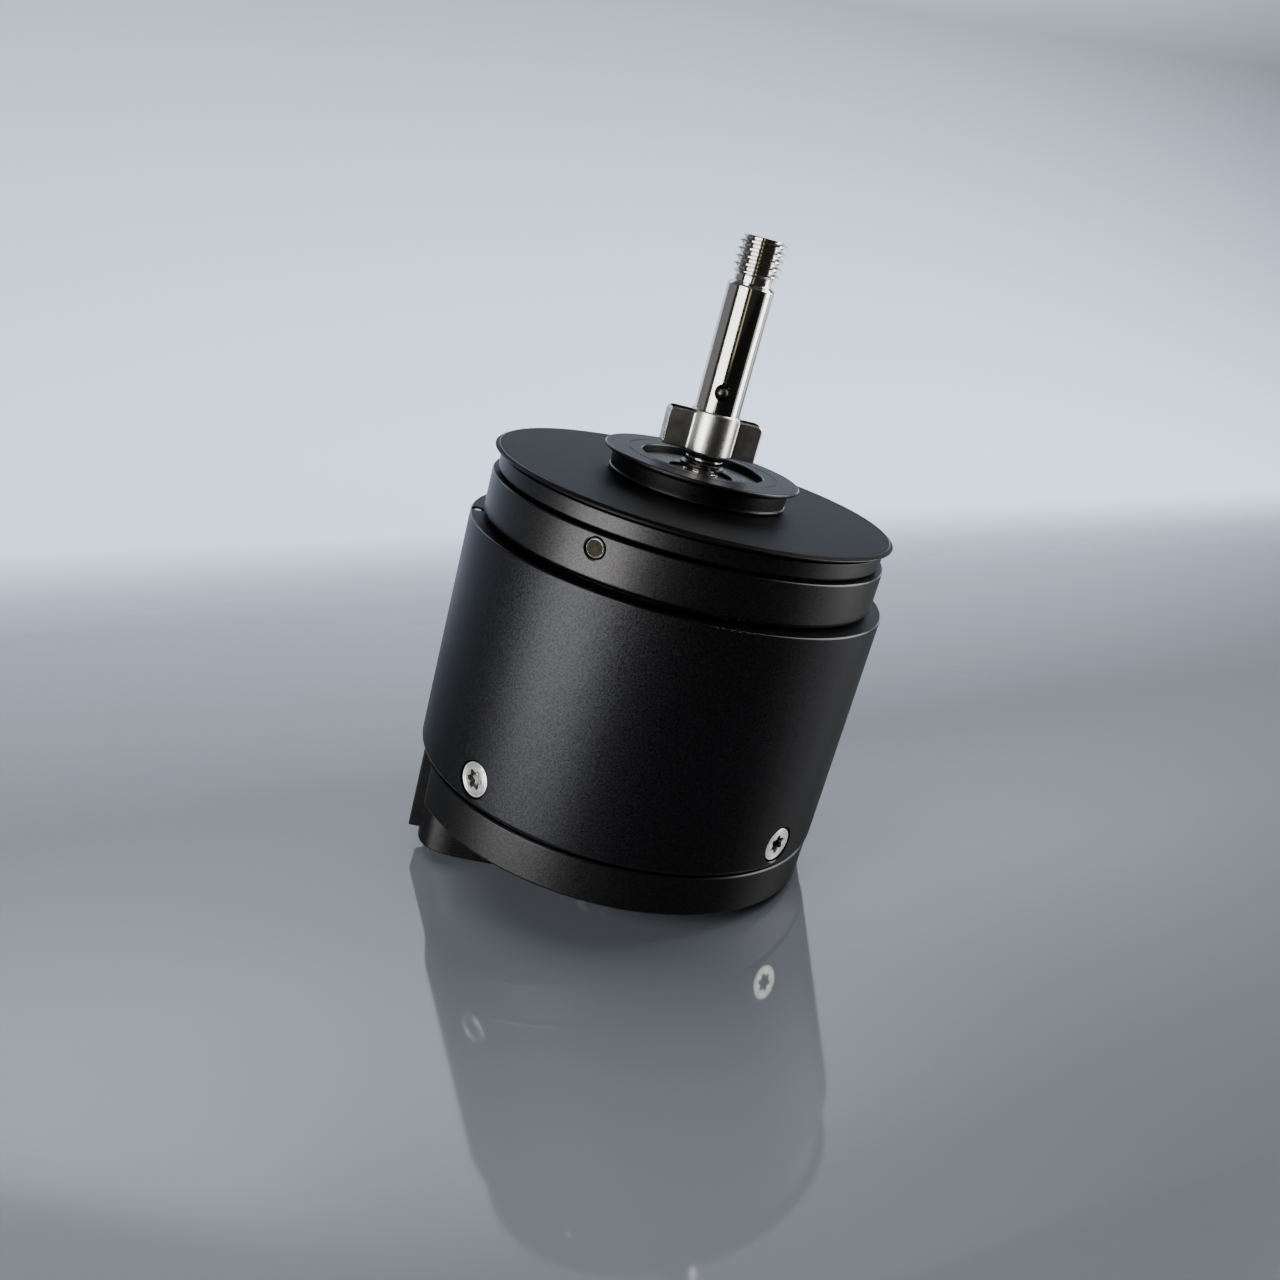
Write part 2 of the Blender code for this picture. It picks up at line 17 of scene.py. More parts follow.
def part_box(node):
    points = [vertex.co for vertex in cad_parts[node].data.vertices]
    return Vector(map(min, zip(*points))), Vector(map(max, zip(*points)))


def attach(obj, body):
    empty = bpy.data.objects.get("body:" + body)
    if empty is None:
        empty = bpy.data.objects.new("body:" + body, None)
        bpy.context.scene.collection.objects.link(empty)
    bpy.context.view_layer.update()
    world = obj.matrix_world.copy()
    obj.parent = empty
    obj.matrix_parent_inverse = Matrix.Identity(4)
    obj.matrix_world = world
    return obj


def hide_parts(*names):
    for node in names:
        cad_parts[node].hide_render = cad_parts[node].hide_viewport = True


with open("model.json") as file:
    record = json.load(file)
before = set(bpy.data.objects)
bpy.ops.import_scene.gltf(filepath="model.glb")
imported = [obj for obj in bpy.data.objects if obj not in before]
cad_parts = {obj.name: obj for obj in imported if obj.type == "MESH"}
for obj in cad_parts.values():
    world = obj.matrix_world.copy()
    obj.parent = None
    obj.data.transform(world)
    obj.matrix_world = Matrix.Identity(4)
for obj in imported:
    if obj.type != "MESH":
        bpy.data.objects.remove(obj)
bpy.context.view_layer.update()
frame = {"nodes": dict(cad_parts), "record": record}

MM = 0.001
MOUNTS = {mount["name"]: mount for mount in frame["record"]["mounts"]}
FOOT = MOUNTS["motor_face"]["pos_m"][2] / MM  # height of the base ring's lower face

ROUND = 192  # sides of the housing's round pieces
MEDIUM = 96  # sides of the shaft, the seal, the screws and the plugs
FINE = 48  # sides of the holes and of the rim's pin
COARSE = 24  # sides of the holes that a screw hides

BASE_RADIUS = 45.7
SPIGOT_RADIUS = 40.7  # where the base ring and the output housing fit into the sleeve
BEARING_SEAT = 14.3
LUG_INNER_END = 22.0  # from the gearbox's axis

LUG_AZIMUTH = 188.0  # azimuths are degrees from +X, counter-clockwise from above
SLEEVE_SCREW_AZIMUTHS = (-128.0, -38.0, 52.0, 142.0)
LOCK_PIN_AZIMUTHS = (-111.2, 8.8, 128.8)
DOG_AZIMUTH = 12.0
THREAD_PITCH = 1.5

BACKDROP_LINE = 254.0  # where the floor turns into the backdrop, from the gearbox
BACKDROP_TURN = 29.0  # degrees about the floor's normal


def span(node):
    """Lowest and highest point of a CAD node."""
    low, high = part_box(node)
    return low.z / MM, high.z / MM


def widest(node):
    """Largest x of a CAD node, which is the radius of a round one."""
    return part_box(node)[1].x / MM


def middle(node):
    """Centre of a CAD node's box."""
    low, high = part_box(node)
    return (low + high) / 2 / MM


# ---------------------------------------------------------------- mesh tools


def soften(profile, steps=4):
    """Rounds each corner of a profile that carries a third number, its rounding."""
    points = []
    count = len(profile)
    for index, corner in enumerate(profile):
        here = Vector(corner[:2])
        if len(corner) < 3:
            points.append(here)
            continue
        before = Vector(profile[index - 1][:2]) - here
        after = Vector(profile[(index + 1) % count][:2]) - here
        start = here + before.normalized() * min(corner[2], before.length * 0.45)
        end = here + after.normalized() * min(corner[2], after.length * 0.45)
        for step in range(steps + 1):
            share = step / steps
            points.append(start.lerp(here, share).lerp(here.lerp(end, share), share))
    return [(point.x, point.y) for point in points]


def turned(profile, sides, places=(Matrix.Identity(4),)):
    """A profile of (radius, height) turned about Z, once at each place."""
    work = bmesh.new()
    solid = profile[0][0] == 0.0
    for place in places:
        rings = []
        for radius, height in profile:
            ring = []
            for spoke in range(1 if radius == 0.0 else sides):
                angle = 2 * math.pi * spoke / sides
                point = Vector((radius * math.cos(angle), radius * math.sin(angle), height))
                ring.append(work.verts.new(place @ point))
            rings.append(ring)
        pairs = list(zip(rings, rings[1:]))
        if not solid:
            pairs.append((rings[-1], rings[0]))
        for low, high in pairs:
            for spoke in range(sides):
                after = (spoke + 1) % sides
                corners = [low[spoke % len(low)], low[after % len(low)]]
                corners += [high[after % len(high)], high[spoke % len(high)]]
                work.faces.new(dict.fromkeys(corners))
    return work


def prism(outline, low, high, rounding=0.0, rounded_ends=(True, True), segments=3):
    """A flat outline raised from one height to another, with the chosen end edges rounded."""
    work = bmesh.new()
    rings = [[work.verts.new((x, y, height)) for x, y in outline] for height in (low, high)]
    for index in range(len(outline)):
        after = (index + 1) % len(outline)
        work.faces.new([rings[0][index], rings[0][after], rings[1][after], rings[1][index]])
    ends = [work.faces.new(ring) for ring in rings]
    bmesh.ops.recalc_face_normals(work, faces=work.faces)
    if rounding:
        edges = [edge for end, wanted in zip(ends, rounded_ends) if wanted for edge in end.edges]
        bmesh.ops.bevel(work, geom=edges, offset=rounding, segments=segments, profile=0.5, affect="EDGES")
    return work


def rounded_outline(corners, steps=10):
    """A closed outline from corners (x, y, rounding), each rounded off by an arc."""
    return soften([corner if corner[2] else corner[:2] for corner in corners], steps)


def object_of(name, work):
    bmesh.ops.recalc_face_normals(work, faces=work.faces)
    mesh = bpy.data.meshes.new(name)
    work.to_mesh(mesh)
    work.free()
    piece = bpy.data.objects.new(name, mesh)
    bpy.context.scene.collection.objects.link(piece)
    return piece


def combine(piece, operation, *tools):
    """Applies Booleans with helper shapes to a piece, and removes the helpers."""
    helpers = []
    for tool in tools:
        is_mesh = isinstance(tool, bmesh.types.BMesh)
        helpers.append(object_of("helper", tool) if is_mesh else tool)
    for helper in helpers:
        boolean = piece.modifiers.new("shape", "BOOLEAN")
        boolean.operation = operation
        boolean.solver = "EXACT"
        boolean.object = helper
    graph = bpy.context.evaluated_depsgraph_get()
    mesh = bpy.data.meshes.new_from_object(piece.evaluated_get(graph))
    piece.modifiers.clear()
    piece.data = mesh
    for helper in helpers:
        bpy.data.objects.remove(helper, do_unlink=True)
    return piece


def is_slanted(face):
    return 0.2 < abs(face.normal.z) < 0.98


def small_slants(largest):
    """A test that picks chamfers and roundings: slanted faces below a size in square millimetres."""
    return lambda face: is_slanted(face) and face.area < largest * MM * MM


def complete(piece, body, nodes, materials, place=None, second=None, sharp=32.0):
    """Scales, shades, paints and places a piece, hangs it under its body and hides the CAD nodes it
    replaces.

    second picks the faces that take the second material.
    """
    mesh = piece.data
    mesh.transform(Matrix.Scale(MM, 4))
    mesh.materials.clear()
    for material in materials:
        mesh.materials.append(material)
    for face in mesh.polygons:
        face.material_index = 1 if second and second(face) else 0
    mesh.shade_smooth()
    mesh.set_sharp_from_angle(angle=math.radians(sharp))
    normals = piece.modifiers.new("normals", "WEIGHTED_NORMAL")
    normals.mode = "FACE_AREA"
    normals.weight = 100
    normals.keep_sharp = True
    if place:
        piece.matrix_world = place
    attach(piece, body)
    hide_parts(*nodes)
    return piece


def outward(azimuth, height):
    """Stands a turned tool on its side, its +Z pointing out along the azimuth."""
    lift = Matrix.Translation((0.0, 0.0, height))
    return lift @ Matrix.Rotation(math.radians(azimuth), 4, "Z") @ Matrix.Rotation(math.pi / 2, 4, "Y")


def in_metres(place):
    """A placement in millimetres, for an object whose mesh is in metres."""
    scaled = place.copy()
    scaled.translation = place.translation * MM
    return scaled


# ---------------------------------------------------------------- materials


GRAZING = (0.72, 0.72, 0.72, 1.0)  # what the anodising keeps of its shine at grazing angles


class Nodes:
    """A material's node tree, with short calls for the nodes that the finishes share."""

    def __init__(self, name):
        self.material = bpy.data.materials.new(name)
        self.material.use_nodes = True
        self.tree = self.material.node_tree
        self.shader = self.tree.nodes["Principled BSDF"]

    def node(self, kind, inputs=(), **settings):
        made = self.tree.nodes.new(kind)
        for key, value in settings.items():
            setattr(made, key, value)
        for key, value in dict(inputs).items():
            if isinstance(value, bpy.types.NodeSocket):
                self.tree.links.new(value, made.inputs[key])
            else:
                made.inputs[key].default_value = value
        return made

    def place(self):
        return self.node("ShaderNodeTexCoord").outputs["Object"]

    def stretched(self, scale):
        return self.node("ShaderNodeMapping", {"Vector": self.place(), "Scale": scale}).outputs["Vector"]

    def noise(self, scale, detail=4.0, vector=None, roughness=0.55):
        made = self.node(
            "ShaderNodeTexNoise",
            {"Vector": vector or self.place(), "Scale": scale, "Detail": detail, "Roughness": roughness},
        )
        return made.outputs["Fac"]

    def mapped(self, value, low, high, start=0.3, end=0.7):
        inputs = {"Value": value, "From Min": start, "From Max": end, "To Min": low, "To Max": high}
        return self.node("ShaderNodeMapRange", inputs).outputs["Result"]

    def mixed(self, factor, first, second):
        made = self.node("ShaderNodeMix", {"Factor": factor}, data_type="RGBA")
        for socket, colour in ((made.inputs["A"], first), (made.inputs["B"], second)):
            if isinstance(colour, bpy.types.NodeSocket):
                self.tree.links.new(colour, socket)
            else:
                socket.default_value = (*colour, 1.0)
        return made.outputs["Result"]

    def bump(self, height, strength, distance, under=None):
        inputs = {"Height": height, "Strength": strength, "Distance": distance}
        if under:
            inputs["Normal"] = under
        return self.node("ShaderNodeBump", inputs).outputs["Normal"]

    def set(self, **values):
        for key, value in values.items():
            socket = self.shader.inputs[key.replace("_", " ")]
            if isinstance(value, bpy.types.NodeSocket):
                self.tree.links.new(value, socket)
            else:
                socket.default_value = value
        return self.material


def black_anodised(name, grains, shades, tint, rough_range):
    """Blasted and black-anodised aluminium: a fine grain that shows only in the highlights."""
    paint = Nodes(name)
    grain = paint.noise(grains, 3.0, roughness=0.6)
    dark, light = (tuple(shade * part for part in tint) for shade in shades)
    colour = paint.mixed(paint.mapped(grain, 0.0, 1.0, 0.35, 0.65), dark, light)
    rough = paint.mapped(grain, *rough_range)
    return paint.set(
        Base_Color=colour, Roughness=rough, Metallic=1.0, Specular_Tint=GRAZING,
        Normal=paint.bump(grain, 0.3, 0.00005)
    )


def rubbed_edge():
    """Chamfers and rounded edges: smoother than the faces, with a few chips at one place on the rim."""
    paint = Nodes("rubbed_edge_fine")
    cloud = paint.noise(300.0, 3.0)
    scuff = Vector((14.2, -43.7, FOOT + 62.6)) * MM
    away = paint.node("ShaderNodeVectorMath", {0: paint.place(), 1: scuff}, operation="DISTANCE")
    near = paint.mapped(away.outputs["Value"], 1.0, 0.0, 2.0 * MM, 6.0 * MM)
    chips = paint.mapped(paint.noise(1300.0, 4.0), 0.0, 1.0, 0.56, 0.62)
    bare = paint.node("ShaderNodeMath", {0: near, 1: chips}, operation="MULTIPLY").outputs["Value"]
    colour = paint.mixed(bare, (0.0028, 0.0028, 0.0034), (0.06, 0.06, 0.063))
    rough = paint.mapped(cloud, 0.20, 0.26)
    return paint.set(Base_Color=colour, Roughness=rough, Metallic=0.0, Specular_IOR_Level=0.28)


def polished_shaft():
    """Ground and polished steel, with hair-fine rings and a few handling marks."""
    paint = Nodes("polished_shaft_fine")
    rings = paint.noise(9000.0, 2.0, paint.stretched((0.01, 0.01, 1.0)))
    marks = paint.mapped(paint.noise(700.0, 5.0, paint.stretched((1.0, 1.0, 0.25))), 0.0, 1.0, 0.6, 0.75)
    colour = paint.mixed(marks, (0.62, 0.605, 0.585), (0.42, 0.40, 0.37))
    rough = paint.mapped(rings, 0.06, 0.13)
    return paint.set(
        Base_Color=colour, Roughness=rough, Metallic=1.0, Normal=paint.bump(rings, 0.05, 0.00001)
    )


def satin_steel():
    """The hub: turned steel left satin, with faint handling marks along the axis."""
    paint = Nodes("satin_steel_fine")
    streaks = paint.noise(1300.0, 3.0, paint.stretched((1.0, 1.0, 0.06)))
    colour = paint.mixed(paint.mapped(streaks, 0.0, 1.0), (0.50, 0.485, 0.46), (0.60, 0.585, 0.56))
    rough = paint.mapped(paint.noise(160.0, 2.0), 0.26, 0.28)
    return paint.set(Base_Color=colour, Roughness=rough, Metallic=1.0)


def milled_dark_and_recess_shade():
    """The dogs' flats: milled steel darkened by heat and oil, with worn patches. The screws' driver
    recesses take it too, as painted shade in the hollow.
    """
    paint = Nodes("milled_dark_and_recess_shade_fine")
    patches = paint.mapped(paint.noise(260.0, 6.0), 0.0, 1.0, 0.35, 0.7)
    lines = paint.noise(2600.0, 2.0, paint.stretched((0.15, 0.15, 1.0)))
    colour = paint.mixed(patches, (0.13, 0.122, 0.11), (0.24, 0.23, 0.21))
    rough = paint.mapped(paint.noise(500.0, 4.0), 0.34, 0.46)
    return paint.set(
        Base_Color=colour, Roughness=rough, Metallic=0.9, Normal=paint.bump(lines, 0.1, 0.00002)
    )


def screw_steel():
    """Bright screws: concentric marks from turning the head, and a slight tarnish."""
    paint = Nodes("screw_steel_fine")
    axes = paint.node("ShaderNodeSeparateXYZ", {"Vector": paint.place()})
    flat = paint.node("ShaderNodeCombineXYZ", {"X": axes.outputs["X"], "Y": axes.outputs["Y"]})
    reach = paint.node("ShaderNodeVectorMath", {0: flat.outputs["Vector"]}, operation="LENGTH")
    rings = paint.noise(5200.0, 2.0, reach.outputs["Value"])
    tarnish = paint.mapped(paint.noise(900.0, 4.0), 0.0, 1.0, 0.45, 0.75)
    colour = paint.mixed(tarnish, (0.66, 0.65, 0.62), (0.42, 0.40, 0.36))
    rough = paint.mapped(rings, 0.22, 0.38)
    return paint.set(
        Base_Color=colour, Roughness=rough, Metallic=1.0, Normal=paint.bump(rings, 0.3, 0.00002)
    )


def plain_metal(name, dark, light, rough_range, stretch=(1.0, 1.0, 1.0), scale=900.0):
    """Turned, ground or hobbed metal for the pieces inside."""
    paint = Nodes(name)
    lines = paint.noise(scale, 4.0, paint.stretched(stretch))
    colour = paint.mixed(paint.mapped(lines, 0.0, 1.0), dark, light)
    rough = paint.mapped(paint.noise(scale * 0.6, 4.0), *rough_range)
    return paint.set(
        Base_Color=colour, Roughness=rough, Metallic=1.0, Normal=paint.bump(lines, 0.12, 0.00002)
    )


def shield_steel():
    """The grey washer in the collar: dull, with fine scratches in every direction."""
    paint = Nodes("shield_steel_fine")
    across = paint.noise(1500.0, 6.0, paint.stretched((1.0, 0.06, 1.0)))
    along = paint.noise(1300.0, 6.0, paint.stretched((0.07, 1.0, 1.0)))
    both = paint.node("ShaderNodeMath", {0: across, 1: along}, operation="MAXIMUM").outputs["Value"]
    scratch = paint.mapped(both, 0.0, 1.0, 0.56, 0.74)
    colour = paint.mixed(scratch, (0.055, 0.056, 0.060), (0.16, 0.16, 0.165))
    rough = paint.mapped(paint.noise(400.0, 4.0), 0.34, 0.48)
    return paint.set(
        Base_Color=colour, Roughness=rough, Metallic=0.7, Normal=paint.bump(scratch, 0.2, 0.00002)
    )


def plug_steel_and_dog_shade():
    """The lock plugs' ends: blued steel, dull and slightly brown. The dogs' upward faces take the same
    dark colour as painted shade.
    """
    paint = Nodes("plug_steel_and_dog_shade_fine")
    stain = paint.noise(1100.0, 4.0)
    colour = paint.mixed(paint.mapped(stain, 0.0, 1.0), (0.006, 0.0055, 0.004), (0.022, 0.019, 0.013))
    rough = paint.mapped(stain, 0.5, 0.62)
    return paint.set(
        Base_Color=colour, Roughness=rough, Metallic=1.0, Specular_Tint=(0.2, 0.2, 0.2, 1.0),
        Normal=paint.bump(stain, 0.15, 0.00003)
    )


def seal_rubber():
    """Black rubber, matt."""
    paint = Nodes("seal_rubber_fine")
    grain = paint.noise(1800.0, 4.0)
    colour = paint.mixed(grain, (0.006, 0.006, 0.006), (0.016, 0.016, 0.016))
    rough = paint.mapped(grain, 0.55, 0.75)
    return paint.set(
        Base_Color=colour, Roughness=rough, Metallic=0.0, Normal=paint.bump(grain, 0.2, 0.00003)
    )


ANODISED = black_anodised("black_anodised_fine", 2700.0, (0.010, 0.024), (1.0, 0.98, 1.04), (0.38, 0.48))
TURNED = black_anodised("turned_anodised_fine", 3300.0, (0.015, 0.031), (1.03, 0.98, 0.97), (0.35, 0.43))
EDGE = rubbed_edge()
POLISHED = polished_shaft()
SATIN = satin_steel()
MILLED_AND_RECESS_SHADE = milled_dark_and_recess_shade()
SCREW = screw_steel()
SHIELD = shield_steel()
RUBBER = seal_rubber()
PLUG_AND_DOG_SHADE = plug_steel_and_dog_shade()
# painted shade: the cover disc takes a darker and warmer copy of the black anodising, so that its upward
# face reads dark
SHADED_COVER_ANODISED = black_anodised("shaded_cover_anodised_fine", 2700.0, (0.005, 0.013), (1.14, 1.0, 0.94), (0.44, 0.52))
BEARING = plain_metal("bearing_steel_fine", (0.50, 0.50, 0.51), (0.62, 0.62, 0.63), (0.14, 0.24))
GEAR = plain_metal("gear_steel_fine", (0.11, 0.11, 0.113), (0.19, 0.19, 0.193), (0.34, 0.48))
CARRIER = plain_metal("carrier_steel_fine", (0.30, 0.30, 0.31), (0.45, 0.45, 0.46), (0.32, 0.46))
DARK = plain_metal("dark_steel_fine", (0.03, 0.029, 0.028), (0.09, 0.086, 0.08), (0.25, 0.4))
BRONZE = plain_metal("bronze_fine", (0.40, 0.23, 0.09), (0.55, 0.34, 0.15), (0.3, 0.45))
FINISH_OF_SLOT = {
    "black_anodised": ANODISED,
    "polished_steel": POLISHED,
    "bearing_steel": BEARING,
    "gear_steel": GEAR,
    "carrier_steel": CARRIER,
    "screw_steel": SCREW,
    "dark_steel": DARK,
    "seal_rubber": RUBBER,
    "bronze": BRONZE,
}


# ---------------------------------------------------------------- housing


def sleeve_screw_axes():
    height = middle("sleeve_screw_1").z
    return [outward(azimuth, height) for azimuth in SLEEVE_SCREW_AZIMUTHS]


def cover_screw_axes():
    screws = [middle(f"cover_screw_{number}") for number in (1, 2, 3, 4)]
    return [Matrix.Translation((at.x, at.y, 0.0)) for at in screws]


def build_sleeve():
    """The outer sleeve, with four countersinks and the hole for the rim's pin."""
    low, high = span("outer_sleeve")
    radius = widest("outer_sleeve")
    bore = radius - 5.0
    profile = [(bore, low + 0.3, 0.15), (bore + 0.4, low, 0.1), (radius - 0.7, low, 0.2)]
    profile += [(radius, low + 0.8, 0.5), (radius, high - 0.25, 0.12), (radius - 0.25, high, 0.1)]
    profile += [(bore + 0.3, high, 0.1), (bore, high - 0.3, 0.1)]
    sleeve = object_of("outer_sleeve_fine", turned(soften(profile), ROUND))
    seat = [(0.0, 38.0), (2.15, 38.0), (2.15, 43.0), (4.1, 45.0), (4.1, 45.75), (4.35, 46.1), (4.35, 48.0)]
    seat += [(0.0, 48.0)]
    pin = middle("rim_lock_pin")
    hole = [(0.0, high - 6.2), (1.4, high - 6.2), (1.4, high - 0.15), (1.6, high + 0.1), (1.6, high + 2.0)]
    hole += [(0.0, high + 2.0)]
    rim = Matrix.Translation((pin.x, pin.y, 0.0))
    combine(sleeve, "DIFFERENCE", turned(seat, FINE, sleeve_screw_axes()), turned(hole, FINE, [rim]))
    complete(
        sleeve, "housing", ["outer_sleeve"], [ANODISED, EDGE],
        second=small_slants(2.0),
    )


def lug_outline():
    """Plan of the torque lug, from its inner end to its rounded outer corners."""
    outer, half, corner = 42.0, 13.5, 8.75
    corners = [(LUG_INNER_END, half, 0.8), (LUG_INNER_END, -half, 0.8)]
    corners += [(outer, -half, corner), (outer, half, corner)]
    return rounded_outline(corners, 16)


def rib_outline():
    """Plan of the upright rib on the lug's outer side."""
    inner, outer, half, corner = 39.0, 44.5, 5.2, 0.45
    corners = [(inner, -half, 0.0), (outer, -half, corner), (outer, half, corner), (inner, half, 0.0)]
    return rounded_outline(corners, 3)


def build_base_ring():
    """The base ring, with a flat, the torque lug, its rib and the sleeve screws' holes."""
    radius, spigot, seat = BASE_RADIUS, SPIGOT_RADIUS, BEARING_SEAT
    top = span("outer_sleeve")[0] - 0.3
    profile = [(21.0, FOOT, 0.3), (radius - 0.6, FOOT, 0.1), (radius, FOOT + 0.6, 0.15)]
    profile += [(radius, top - 0.3, 0.05), (radius - 0.3, top, 0.05)]
    profile += [(spigot, top), (spigot, FOOT + 23.6), (spigot - 0.4, FOOT + 24.0), (37.5, FOOT + 24.0)]
    profile += [(37.5, FOOT + 10.0), (18.0, FOOT + 10.0), (18.0, FOOT + 14.2), (seat, FOOT + 14.2)]
    profile += [(seat, FOOT + 5.8), (12.0, FOOT + 5.8), (12.0, FOOT + 4.6, 0.3), (21.0, FOOT + 4.6, 0.2)]
    base = object_of("base_ring_fine", turned(soften(profile), ROUND))
    turn = Matrix.Rotation(math.radians(LUG_AZIMUTH), 4, "Z")
    base.data.transform(turn)

    def aimed(work):
        bmesh.ops.transform(work, matrix=turn, verts=work.verts)
        return work

    flat = prism([(42.0, -20.0), (50.0, -20.0), (50.0, 20.0), (42.0, 20.0)], FOOT - 1.0, top + 0.1)
    combine(base, "DIFFERENCE", aimed(flat))
    lug = prism(lug_outline(), 0.0, FOOT + 3.0, 0.35, (True, False))
    rib = prism(rib_outline(), FOOT - 12.8, top - 0.2, 0.3)
    combine(base, "UNION", aimed(lug))
    combine(base, "UNION", aimed(rib))
    hole = [(0.0, 36.0), (2.0, 36.0), (2.0, 42.0), (0.0, 42.0)]
    combine(base, "DIFFERENCE", turned(hole, COARSE, sleeve_screw_axes()))
    complete(
        base, "housing", ["base_ring"], [TURNED, EDGE],
        second=small_slants(1.0),
    )


def build_output_housing():
    """The band above the sleeve, with the lock plugs' holes and the cover screws' bores."""
    low = span("outer_sleeve")[1] + 0.8
    bottom, high = span("output_housing")
    radius, spigot, seat = widest("output_housing"), SPIGOT_RADIUS, BEARING_SEAT
    profile = [(36.0, bottom), (spigot, bottom), (spigot, low), (radius - 0.4, low, 0.15)]
    profile += [(radius, low + 0.6, 0.45), (radius, high - 0.25, 0.1)]
    profile += [(radius - 0.25, high, 0.08), (seat, high)]
    profile += [(seat, bottom + 4.4), (12.2, bottom + 4.4), (12.2, bottom + 3.2), (36.0, bottom + 3.2)]
    housing = object_of("output_housing_fine", turned(soften(profile), ROUND))
    places = [outward(azimuth, middle("lock_pin_1").z) for azimuth in LOCK_PIN_AZIMUTHS]
    hole = [(0.0, 35.0), (2.25, 35.0), (2.25, radius - 0.25), (2.5, radius + 0.05), (2.5, radius + 3.0)]
    hole += [(0.0, radius + 3.0)]
    combine(housing, "DIFFERENCE", turned(hole, FINE, places))
    step = bottom + 6.8
    bore = [(0.0, bottom - 4.0), (3.3, bottom - 4.0), (3.3, step), (1.8, step)]
    bore += [(1.8, high + 4.0), (0.0, high + 4.0)]
    combine(housing, "DIFFERENCE", turned(bore, COARSE, cover_screw_axes()))
    complete(
        housing, "housing", ["output_housing"], [TURNED, EDGE],
        second=small_slants(2.0),
    )


def build_cover():
    """The spacer ring and the cover disc on top of it."""
    low, high = span("spacer_ring")
    radius = widest("spacer_ring")
    ring = [(36.0, low), (radius - 0.3, low, 0.12), (radius, low + 0.45, 0.35)]
    ring += [(radius, high - 0.15, 0.06), (radius - 0.15, high, 0.04), (36.0, high)]
    spacer = object_of("spacer_ring_fine", turned(soften(ring), ROUND))
    complete(
        spacer, "housing", ["spacer_ring"], [TURNED, EDGE],
        second=small_slants(2.0),
    )

    bottom, top = span("cover_disc")
    rim, seat, step = widest("cover_disc"), BEARING_SEAT, top - 1.3
    disc = [(seat, bottom), (35.7, bottom), (35.7, step), (radius, step, 0.06), (radius, step + 0.6, 0.1)]
    disc += [(rim - 0.1, step + 0.6, 0.05), (rim, step + 0.68, 0.05), (rim, step + 0.8, 0.06)]
    disc += [(rim - 0.9, top, 0.15), (13.2, top, 0.1), (13.2, top - 0.8), (seat, top - 0.8)]
    cover = object_of("cover_disc_fine", turned(soften(disc), ROUND))
    thread = [(0.0, bottom - 2.0), (1.8, bottom - 2.0), (1.8, top - 0.9), (0.0, top - 0.9)]
    combine(cover, "DIFFERENCE", turned(thread, COARSE, cover_screw_axes()))
    # the cover disc takes the darker copy of the anodising: painted shade on its top
    complete(
        cover, "housing", ["cover_disc"], [SHADED_COVER_ANODISED, EDGE],
        second=small_slants(0.4),
    )


def build_seal_collar():
    """The collar with the groove in its brim, and the seal and the shield inside it."""
    bottom, high = span("seal_collar")
    low = span("cover_disc")[1] + 0.3
    radius, brim, groove, recess = 19.5, widest("seal_collar"), 16.4, 13.3
    profile = [(10.0, bottom), (12.9, bottom), (12.9, low), (radius, low, 0.25), (radius, low + 0.5, 0.25)]
    profile += [(radius - 0.25, low + 0.62, 0.1), (radius - 0.1, high - 1.35, 0.3)]
    profile += [(brim - 0.3, high - 0.9, 0.15), (brim, high - 0.7, 0.15)]
    profile += [(brim, high - 0.22, 0.12), (brim - 0.25, high, 0.12)]
    profile += [(groove + 0.2, high, 0.03), (groove, high - 0.22, 0.03), (groove - 0.2, high, 0.03)]
    profile += [(recess + 0.2, high, 0.12), (recess, high - 0.25, 0.1)]
    profile += [(recess, high - 2.5), (10.0, high - 2.5)]
    collar = object_of("seal_collar_fine", turned(soften(profile), ROUND))
    complete(
        collar, "housing", ["seal_collar"], [TURNED, EDGE],
        second=small_slants(0.12),
    )

    foot = span("shaft_seal")[0]
    lip = [(9.7, foot), (9.7, foot + 3.0), (4.7, foot + 3.0, 0.2), (4.2, foot + 2.3, 0.2)]
    lip += [(5.0, foot + 1.7, 0.3), (8.2, foot + 1.7, 0.3), (8.2, foot)]
    seal = object_of("shaft_seal_fine", turned(soften(lip), MEDIUM))
    complete(seal, "housing", ["shaft_seal"], [RUBBER])

    low, high = span("seal_shield")
    shield = [(7.0, low, 0.1), (13.0, low, 0.05), (13.0, high - 0.05, 0.05), (12.6, high, 0.1)]
    shield += [(8.6, high, 0.2), (8.2, high - 0.18, 0.15)]
    shield += [(7.7, high - 0.02, 0.15), (7.0, high - 0.1, 0.15)]
    washer = object_of("seal_shield_fine", turned(soften(shield), ROUND))
    complete(washer, "housing", ["seal_shield"], [SHIELD])


# ---------------------------------------------------------------- fasteners


def driver_recess(outer, inner, levels, floor, sides=102):
    """A six-lobed plug that cuts a driver recess; levels are (height, widening) from its foot up."""
    mean, swing = (outer + inner) / 2, (outer - inner) / 2
    work = bmesh.new()
    rings = []
    for height, widening in levels:
        ring = []
        for step in range(sides):
            angle = 2 * math.pi * step / sides
            wave = math.cos(6 * angle)
            radius = mean + widening + swing * math.copysign(abs(wave) ** 0.75, wave)
            ring.append(work.verts.new((radius * math.cos(angle), radius * math.sin(angle), height)))
        rings.append(ring)
    for low, high in zip(rings, rings[1:]):
        for step in range(sides):
            after = (step + 1) % sides
            work.faces.new([low[step], low[after], high[after], high[step]])
    work.faces.new(rings[-1])
    centre = work.verts.new((0.0, 0.0, floor))
    for step in range(sides):
        work.faces.new([centre, rings[0][(step + 1) % sides], rings[0][step]])
    return work


